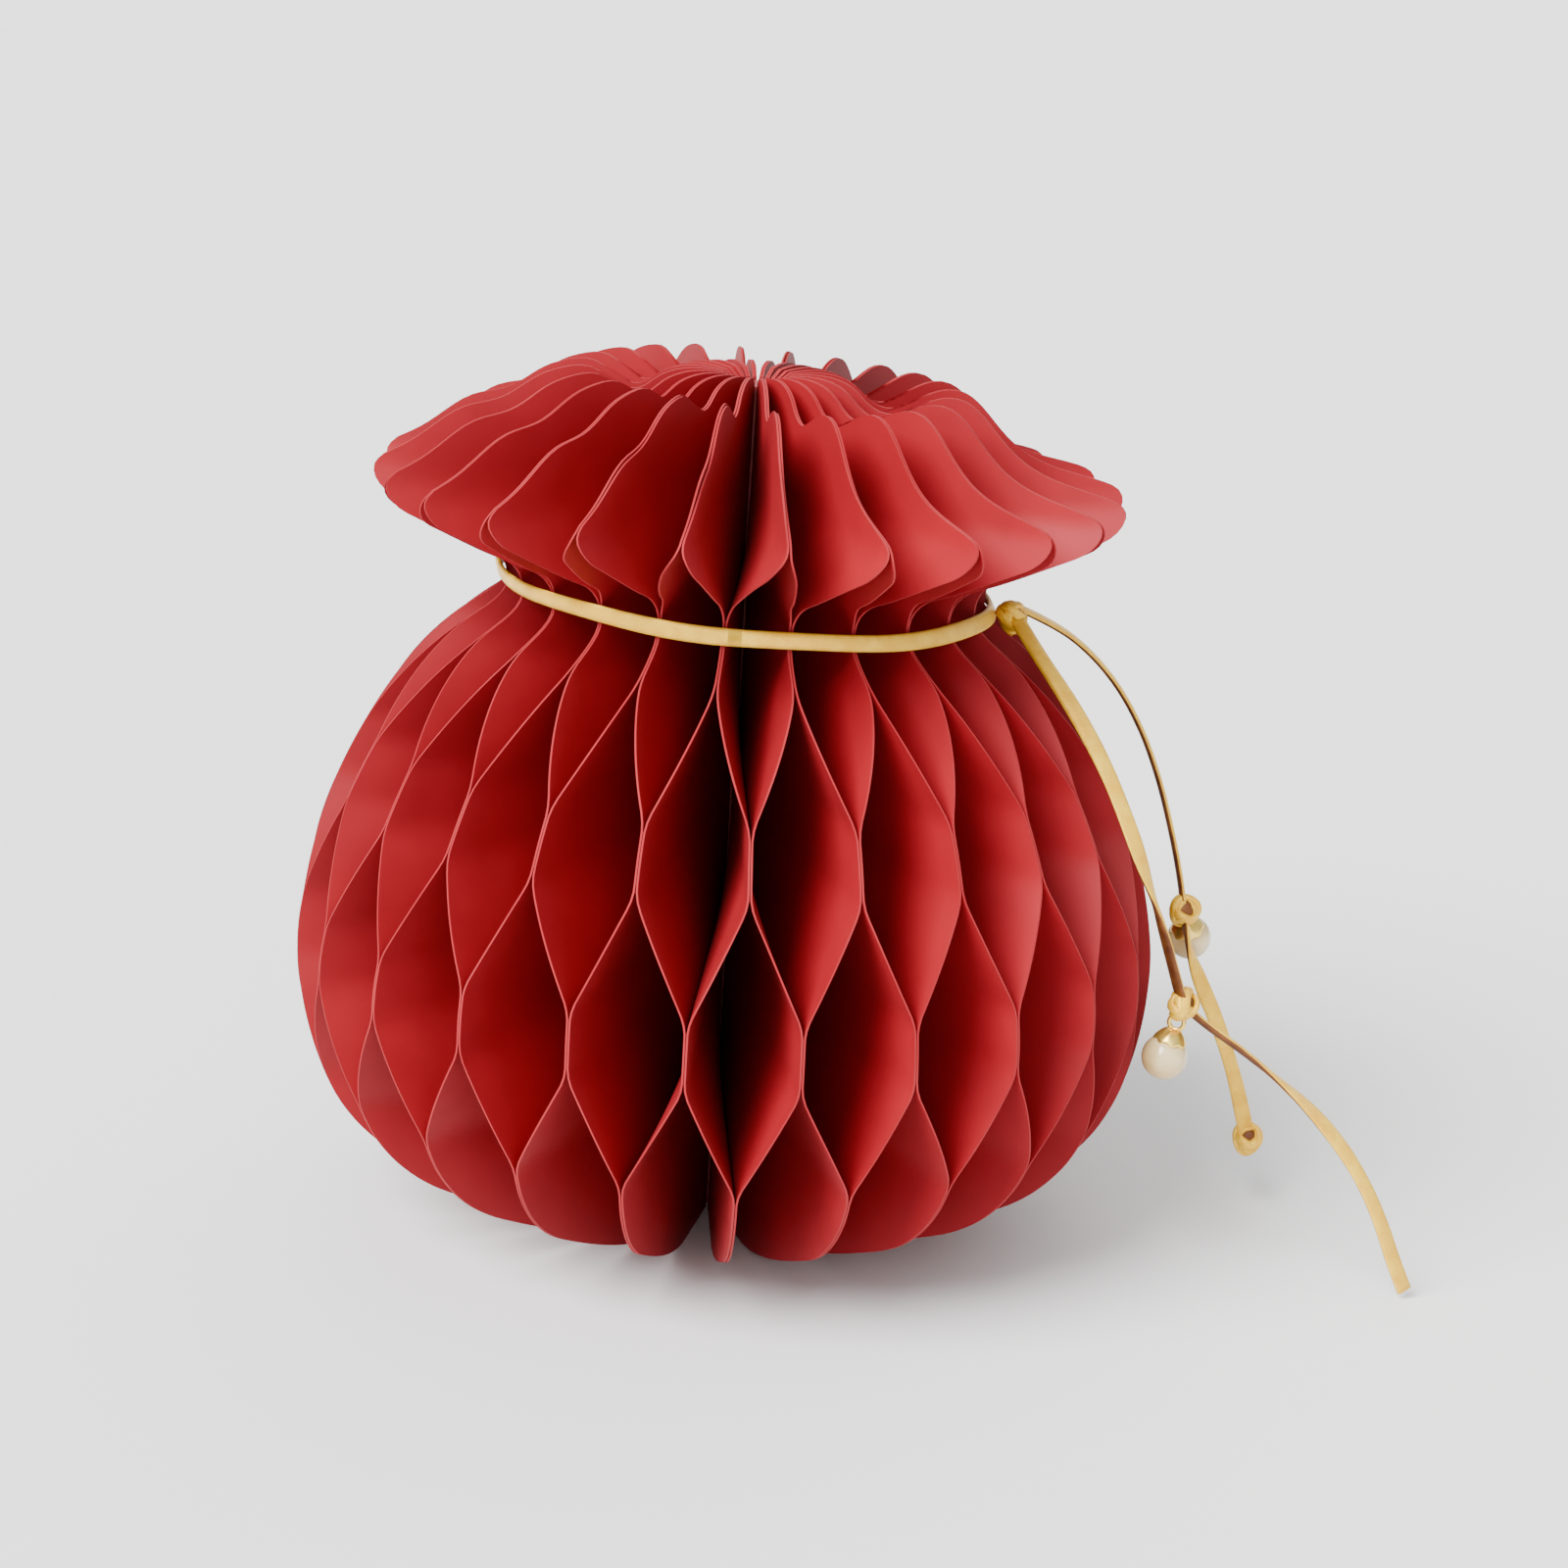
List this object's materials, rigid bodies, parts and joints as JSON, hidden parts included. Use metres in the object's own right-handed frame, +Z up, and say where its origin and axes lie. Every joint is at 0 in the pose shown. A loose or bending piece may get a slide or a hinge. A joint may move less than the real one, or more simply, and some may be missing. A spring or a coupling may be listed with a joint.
{
  "type": "paper honeycomb lucky bag decoration",
  "caption": "Free-standing red paper honeycomb ornament shaped as a drawstring pouch: glued waved leaves fan round a spine and fold flat; gold neck cord with pearl charms.",
  "frame": {"origin": "centre of the bag's foot, on the table", "axes": "+Z up along the spine, front -Y, +X to the right, towards the knot and the seam"},
  "size_m": [0.2008, 0.1516, 0.152],
  "materials": {
    "paper": "matte dyed card",
    "spine_glue": "matte flexible glue",
    "tape": "double-sided tape",
    "gold_cord": "satin woven flat cord",
    "gold_metal": "polished",
    "pearl": "pearl lustre"
  },
  "bodies": {
    "spine_and_cord": {"spine_glue_core": "spine_glue", "neck_cord": "gold_cord", "neck_knot": "gold_cord", "tail_cord_front": "gold_cord", "tail_cord_rear": "gold_cord", "charm_knot_front": "gold_cord", "charm_knot_rear": "gold_cord", "bead_cap_front": "gold_metal", "bead_cap_rear": "gold_metal", "pearl_front": "pearl", "pearl_rear": "pearl"},
    "fold_01": {"leaf_01": "paper", "seam_tapes": "tape"},
    "fold_02": {"leaf_02": "paper"},
    "fold_03": {"leaf_03": "paper"},
    "fold_04": {"leaf_04": "paper"},
    "fold_05": {"leaf_05": "paper"},
    "fold_06": {"leaf_06": "paper"},
    "fold_07": {"leaf_07": "paper"},
    "fold_08": {"leaf_08": "paper"},
    "fold_09": {"leaf_09": "paper"},
    "fold_10": {"leaf_10": "paper"},
    "fold_11": {"leaf_11": "paper"},
    "fold_12": {"leaf_12": "paper"},
    "fold_13": {"leaf_13": "paper"},
    "fold_14": {"leaf_14": "paper"},
    "fold_15": {"leaf_15": "paper"},
    "fold_16": {"leaf_16": "paper"},
    "fold_17": {"leaf_17": "paper"},
    "fold_18": {"leaf_18": "paper"},
    "fold_19": {"leaf_19": "paper"},
    "fold_20": {"leaf_20": "paper"},
    "fold_21": {"leaf_21": "paper"},
    "fold_22": {"leaf_22": "paper"},
    "fold_23": {"leaf_23": "paper"},
    "fold_24": {"leaf_24": "paper"},
    "fold_25": {"leaf_25": "paper"},
    "fold_26": {"leaf_26": "paper"},
    "fold_27": {"leaf_27": "paper"},
    "fold_28": {"leaf_28": "paper"},
    "fold_29": {"leaf_29": "paper"},
    "fold_30": {"leaf_30": "paper"},
    "fold_31": {"leaf_31": "paper"},
    "fold_32": {"leaf_32": "paper"},
    "fold_33": {"leaf_33": "paper"},
    "fold_34": {"leaf_34": "paper"},
    "fold_35": {"leaf_35": "paper"},
    "fold_36": {"leaf_36": "paper"},
    "fold_37": {"leaf_37": "paper"},
    "fold_38": {"leaf_38": "paper"},
    "fold_39": {"leaf_39": "paper"},
    "fold_40": {"leaf_40": "paper"},
    "fold_41": {"leaf_41": "paper"},
    "fold_42": {"leaf_42": "paper"},
    "fold_43": {"leaf_43": "paper"},
    "fold_44": {"leaf_44": "paper"},
    "fold_45": {"leaf_45": "paper"},
    "fold_46": {"leaf_46": "paper"},
    "fold_47": {"leaf_47": "paper"},
    "fold_48": {"leaf_48": "paper"}
  },
  "joints": [
    {"name": "fan_fold", "type": "hinge", "parent": "spine_and_cord", "child": "fold_01", "pos_m": [-0.00015, 0.00447, 0], "axis": [0, 0, 1], "range_deg": [0, 176.25], "deforming": ["leaf_01"]},
    {"name": "fan_fold_02", "type": "hinge", "parent": "spine_and_cord", "child": "fold_02", "pos_m": [-0.00042, 0.00428, 0], "axis": [0, 0, 1], "range_deg": [0, 168.76], "deforming": ["leaf_02"]},
    {"name": "fan_fold_03", "type": "hinge", "parent": "spine_and_cord", "child": "fold_03", "pos_m": [-0.00066, 0.00409, 0], "axis": [0, 0, 1], "range_deg": [0, 161.26], "deforming": ["leaf_03"]},
    {"name": "fan_fold_04", "type": "hinge", "parent": "spine_and_cord", "child": "fold_04", "pos_m": [-0.00088, 0.00391, 0], "axis": [0, 0, 1], "range_deg": [0, 153.76], "deforming": ["leaf_04"]},
    {"name": "fan_fold_05", "type": "hinge", "parent": "spine_and_cord", "child": "fold_05", "pos_m": [-0.00109, 0.00372, 0], "axis": [0, 0, 1], "range_deg": [0, 146.26], "deforming": ["leaf_05"]},
    {"name": "fan_fold_06", "type": "hinge", "parent": "spine_and_cord", "child": "fold_06", "pos_m": [-0.00128, 0.00354, 0], "axis": [0, 0, 1], "range_deg": [0, 138.76], "deforming": ["leaf_06"]},
    {"name": "fan_fold_07", "type": "hinge", "parent": "spine_and_cord", "child": "fold_07", "pos_m": [-0.00145, 0.00336, 0], "axis": [0, 0, 1], "range_deg": [0, 131.26], "deforming": ["leaf_07"]},
    {"name": "fan_fold_08", "type": "hinge", "parent": "spine_and_cord", "child": "fold_08", "pos_m": [-0.00161, 0.00318, 0], "axis": [0, 0, 1], "range_deg": [0, 123.76], "deforming": ["leaf_08"]},
    {"name": "fan_fold_09", "type": "hinge", "parent": "spine_and_cord", "child": "fold_09", "pos_m": [-0.00176, 0.003, 0], "axis": [0, 0, 1], "range_deg": [0, 116.26], "deforming": ["leaf_09"]},
    {"name": "fan_fold_10", "type": "hinge", "parent": "spine_and_cord", "child": "fold_10", "pos_m": [-0.00189, 0.00283, 0], "axis": [0, 0, 1], "range_deg": [0, 108.76], "deforming": ["leaf_10"]},
    {"name": "fan_fold_11", "type": "hinge", "parent": "spine_and_cord", "child": "fold_11", "pos_m": [-0.00201, 0.00266, 0], "axis": [0, 0, 1], "range_deg": [0, 101.26], "deforming": ["leaf_11"]},
    {"name": "fan_fold_12", "type": "hinge", "parent": "spine_and_cord", "child": "fold_12", "pos_m": [-0.00212, 0.00249, 0], "axis": [0, 0, 1], "range_deg": [0, 93.76], "deforming": ["leaf_12"]},
    {"name": "fan_fold_13", "type": "hinge", "parent": "spine_and_cord", "child": "fold_13", "pos_m": [-0.00222, 0.00233, 0], "axis": [0, 0, 1], "range_deg": [0, 86.26], "deforming": ["leaf_13"]},
    {"name": "fan_fold_14", "type": "hinge", "parent": "spine_and_cord", "child": "fold_14", "pos_m": [-0.00231, 0.00217, 0], "axis": [0, 0, 1], "range_deg": [0, 78.76], "deforming": ["leaf_14"]},
    {"name": "fan_fold_15", "type": "hinge", "parent": "spine_and_cord", "child": "fold_15", "pos_m": [-0.00239, 0.00202, 0], "axis": [0, 0, 1], "range_deg": [0, 71.26], "deforming": ["leaf_15"]},
    {"name": "fan_fold_16", "type": "hinge", "parent": "spine_and_cord", "child": "fold_16", "pos_m": [-0.00246, 0.00188, 0], "axis": [0, 0, 1], "range_deg": [0, 63.76], "deforming": ["leaf_16"]},
    {"name": "fan_fold_17", "type": "hinge", "parent": "spine_and_cord", "child": "fold_17", "pos_m": [-0.00252, 0.00175, 0], "axis": [0, 0, 1], "range_deg": [0, 56.26], "deforming": ["leaf_17"]},
    {"name": "fan_fold_18", "type": "hinge", "parent": "spine_and_cord", "child": "fold_18", "pos_m": [-0.00257, 0.00164, 0], "axis": [0, 0, 1], "range_deg": [0, 48.76], "deforming": ["leaf_18"]},
    {"name": "fan_fold_19", "type": "hinge", "parent": "spine_and_cord", "child": "fold_19", "pos_m": [-0.00262, 0.00156, 0], "axis": [0, 0, 1], "range_deg": [0, 41.26], "deforming": ["leaf_19"]},
    {"name": "fan_fold_20", "type": "hinge", "parent": "spine_and_cord", "child": "fold_20", "pos_m": [-0.00266, 0.00153, 0], "axis": [0, 0, 1], "range_deg": [0, 33.76], "deforming": ["leaf_20"]},
    {"name": "fan_fold_21", "type": "hinge", "parent": "spine_and_cord", "child": "fold_21", "pos_m": [-0.0027, 0.00158, 0], "axis": [0, 0, 1], "range_deg": [0, 26.26], "deforming": ["leaf_21"]},
    {"name": "fan_fold_22", "type": "hinge", "parent": "spine_and_cord", "child": "fold_22", "pos_m": [-0.00274, 0.00183, 0], "axis": [0, 0, 1], "range_deg": [0, 18.76], "deforming": ["leaf_22"]},
    {"name": "fan_fold_23", "type": "hinge", "parent": "spine_and_cord", "child": "fold_23", "pos_m": [-0.0028, 0.00267, 0], "axis": [0, 0, 1], "range_deg": [0, 11.26], "deforming": ["leaf_23"]},
    {"name": "fan_fold_24", "type": "hinge", "parent": "spine_and_cord", "child": "fold_24", "pos_m": [-0.00309, 0.00757, 0], "axis": [0, 0, 1], "range_deg": [0, 3.76], "deforming": ["leaf_24"]},
    {"name": "fan_fold_25", "type": "hinge", "parent": "spine_and_cord", "child": "fold_25", "pos_m": [-0.0022, -0.00787, 0], "axis": [0, 0, 1], "range_deg": [-3.76, 0], "deforming": ["leaf_25"]},
    {"name": "fan_fold_26", "type": "hinge", "parent": "spine_and_cord", "child": "fold_26", "pos_m": [-0.00248, -0.00297, 0], "axis": [0, 0, 1], "range_deg": [-11.26, 0], "deforming": ["leaf_26"]},
    {"name": "fan_fold_27", "type": "hinge", "parent": "spine_and_cord", "child": "fold_27", "pos_m": [-0.00251, -0.00214, 0], "axis": [0, 0, 1], "range_deg": [-18.76, 0], "deforming": ["leaf_27"]},
    {"name": "fan_fold_28", "type": "hinge", "parent": "spine_and_cord", "child": "fold_28", "pos_m": [-0.0025, -0.00188, 0], "axis": [0, 0, 1], "range_deg": [-26.26, 0], "deforming": ["leaf_28"]},
    {"name": "fan_fold_29", "type": "hinge", "parent": "spine_and_cord", "child": "fold_29", "pos_m": [-0.00247, -0.00182, 0], "axis": [0, 0, 1], "range_deg": [-33.76, 0], "deforming": ["leaf_29"]},
    {"name": "fan_fold_30", "type": "hinge", "parent": "spine_and_cord", "child": "fold_30", "pos_m": [-0.00242, -0.00185, 0], "axis": [0, 0, 1], "range_deg": [-41.26, 0], "deforming": ["leaf_30"]},
    {"name": "fan_fold_31", "type": "hinge", "parent": "spine_and_cord", "child": "fold_31", "pos_m": [-0.00237, -0.00193, 0], "axis": [0, 0, 1], "range_deg": [-48.76, 0], "deforming": ["leaf_31"]},
    {"name": "fan_fold_32", "type": "hinge", "parent": "spine_and_cord", "child": "fold_32", "pos_m": [-0.0023, -0.00203, 0], "axis": [0, 0, 1], "range_deg": [-56.26, 0], "deforming": ["leaf_32"]},
    {"name": "fan_fold_33", "type": "hinge", "parent": "spine_and_cord", "child": "fold_33", "pos_m": [-0.00223, -0.00215, 0], "axis": [0, 0, 1], "range_deg": [-63.76, 0], "deforming": ["leaf_33"]},
    {"name": "fan_fold_34", "type": "hinge", "parent": "spine_and_cord", "child": "fold_34", "pos_m": [-0.00214, -0.00228, 0], "axis": [0, 0, 1], "range_deg": [-71.26, 0], "deforming": ["leaf_34"]},
    {"name": "fan_fold_35", "type": "hinge", "parent": "spine_and_cord", "child": "fold_35", "pos_m": [-0.00204, -0.00242, 0], "axis": [0, 0, 1], "range_deg": [-78.76, 0], "deforming": ["leaf_35"]},
    {"name": "fan_fold_36", "type": "hinge", "parent": "spine_and_cord", "child": "fold_36", "pos_m": [-0.00194, -0.00257, 0], "axis": [0, 0, 1], "range_deg": [-86.26, 0], "deforming": ["leaf_36"]},
    {"name": "fan_fold_37", "type": "hinge", "parent": "spine_and_cord", "child": "fold_37", "pos_m": [-0.00182, -0.00272, 0], "axis": [0, 0, 1], "range_deg": [-93.76, 0], "deforming": ["leaf_37"]},
    {"name": "fan_fold_38", "type": "hinge", "parent": "spine_and_cord", "child": "fold_38", "pos_m": [-0.00169, -0.00287, 0], "axis": [0, 0, 1], "range_deg": [-101.26, 0], "deforming": ["leaf_38"]},
    {"name": "fan_fold_39", "type": "hinge", "parent": "spine_and_cord", "child": "fold_39", "pos_m": [-0.00155, -0.00303, 0], "axis": [0, 0, 1], "range_deg": [-108.76, 0], "deforming": ["leaf_39"]},
    {"name": "fan_fold_40", "type": "hinge", "parent": "spine_and_cord", "child": "fold_40", "pos_m": [-0.0014, -0.00319, 0], "axis": [0, 0, 1], "range_deg": [-116.26, 0], "deforming": ["leaf_40"]},
    {"name": "fan_fold_41", "type": "hinge", "parent": "spine_and_cord", "child": "fold_41", "pos_m": [-0.00124, -0.00335, 0], "axis": [0, 0, 1], "range_deg": [-123.76, 0], "deforming": ["leaf_41"]},
    {"name": "fan_fold_42", "type": "hinge", "parent": "spine_and_cord", "child": "fold_42", "pos_m": [-0.00106, -0.0035, 0], "axis": [0, 0, 1], "range_deg": [-131.26, 0], "deforming": ["leaf_42"]},
    {"name": "fan_fold_43", "type": "hinge", "parent": "spine_and_cord", "child": "fold_43", "pos_m": [-0.00086, -0.00366, 0], "axis": [0, 0, 1], "range_deg": [-138.76, 0], "deforming": ["leaf_43"]},
    {"name": "fan_fold_44", "type": "hinge", "parent": "spine_and_cord", "child": "fold_44", "pos_m": [-0.00065, -0.00382, 0], "axis": [0, 0, 1], "range_deg": [-146.26, 0], "deforming": ["leaf_44"]},
    {"name": "fan_fold_45", "type": "hinge", "parent": "spine_and_cord", "child": "fold_45", "pos_m": [-0.00043, -0.00398, 0], "axis": [0, 0, 1], "range_deg": [-153.76, 0], "deforming": ["leaf_45"]},
    {"name": "fan_fold_46", "type": "hinge", "parent": "spine_and_cord", "child": "fold_46", "pos_m": [-0.00019, -0.00414, 0], "axis": [0, 0, 1], "range_deg": [-161.26, 0], "deforming": ["leaf_46"]},
    {"name": "fan_fold_47", "type": "hinge", "parent": "spine_and_cord", "child": "fold_47", "pos_m": [0.00008, -0.0043, 0], "axis": [0, 0, 1], "range_deg": [-168.76, 0], "deforming": ["leaf_47"]},
    {"name": "fan_fold_48", "type": "hinge", "parent": "spine_and_cord", "child": "fold_48", "pos_m": [0.00036, -0.00446, 0], "axis": [0, 0, 1], "range_deg": [-176.26, 0], "deforming": ["leaf_48"]}
  ],
  "couplings": [
    {"joint": "fan_fold_02", "follows": "fan_fold", "ratio": 0.95745},
    {"joint": "fan_fold_03", "follows": "fan_fold", "ratio": 0.91489},
    {"joint": "fan_fold_04", "follows": "fan_fold", "ratio": 0.87234},
    {"joint": "fan_fold_05", "follows": "fan_fold", "ratio": 0.82979},
    {"joint": "fan_fold_06", "follows": "fan_fold", "ratio": 0.78723},
    {"joint": "fan_fold_07", "follows": "fan_fold", "ratio": 0.74468},
    {"joint": "fan_fold_08", "follows": "fan_fold", "ratio": 0.70213},
    {"joint": "fan_fold_09", "follows": "fan_fold", "ratio": 0.65957},
    {"joint": "fan_fold_10", "follows": "fan_fold", "ratio": 0.61702},
    {"joint": "fan_fold_11", "follows": "fan_fold", "ratio": 0.57447},
    {"joint": "fan_fold_12", "follows": "fan_fold", "ratio": 0.53191},
    {"joint": "fan_fold_13", "follows": "fan_fold", "ratio": 0.48936},
    {"joint": "fan_fold_14", "follows": "fan_fold", "ratio": 0.44681},
    {"joint": "fan_fold_15", "follows": "fan_fold", "ratio": 0.40426},
    {"joint": "fan_fold_16", "follows": "fan_fold", "ratio": 0.3617},
    {"joint": "fan_fold_17", "follows": "fan_fold", "ratio": 0.31915},
    {"joint": "fan_fold_18", "follows": "fan_fold", "ratio": 0.2766},
    {"joint": "fan_fold_19", "follows": "fan_fold", "ratio": 0.23404},
    {"joint": "fan_fold_20", "follows": "fan_fold", "ratio": 0.19149},
    {"joint": "fan_fold_21", "follows": "fan_fold", "ratio": 0.14894},
    {"joint": "fan_fold_22", "follows": "fan_fold", "ratio": 0.10638},
    {"joint": "fan_fold_23", "follows": "fan_fold", "ratio": 0.06383},
    {"joint": "fan_fold_24", "follows": "fan_fold", "ratio": 0.021277},
    {"joint": "fan_fold_25", "follows": "fan_fold", "ratio": -0.021277},
    {"joint": "fan_fold_26", "follows": "fan_fold", "ratio": -0.06383},
    {"joint": "fan_fold_27", "follows": "fan_fold", "ratio": -0.10638},
    {"joint": "fan_fold_28", "follows": "fan_fold", "ratio": -0.14894},
    {"joint": "fan_fold_29", "follows": "fan_fold", "ratio": -0.19149},
    {"joint": "fan_fold_30", "follows": "fan_fold", "ratio": -0.23404},
    {"joint": "fan_fold_31", "follows": "fan_fold", "ratio": -0.2766},
    {"joint": "fan_fold_32", "follows": "fan_fold", "ratio": -0.31915},
    {"joint": "fan_fold_33", "follows": "fan_fold", "ratio": -0.3617},
    {"joint": "fan_fold_34", "follows": "fan_fold", "ratio": -0.40426},
    {"joint": "fan_fold_35", "follows": "fan_fold", "ratio": -0.44681},
    {"joint": "fan_fold_36", "follows": "fan_fold", "ratio": -0.48936},
    {"joint": "fan_fold_37", "follows": "fan_fold", "ratio": -0.53191},
    {"joint": "fan_fold_38", "follows": "fan_fold", "ratio": -0.57447},
    {"joint": "fan_fold_39", "follows": "fan_fold", "ratio": -0.61702},
    {"joint": "fan_fold_40", "follows": "fan_fold", "ratio": -0.65957},
    {"joint": "fan_fold_41", "follows": "fan_fold", "ratio": -0.70213},
    {"joint": "fan_fold_42", "follows": "fan_fold", "ratio": -0.74468},
    {"joint": "fan_fold_43", "follows": "fan_fold", "ratio": -0.78723},
    {"joint": "fan_fold_44", "follows": "fan_fold", "ratio": -0.82979},
    {"joint": "fan_fold_45", "follows": "fan_fold", "ratio": -0.87234},
    {"joint": "fan_fold_46", "follows": "fan_fold", "ratio": -0.91489},
    {"joint": "fan_fold_47", "follows": "fan_fold", "ratio": -0.95745},
    {"joint": "fan_fold_48", "follows": "fan_fold", "ratio": -1}
  ]
}
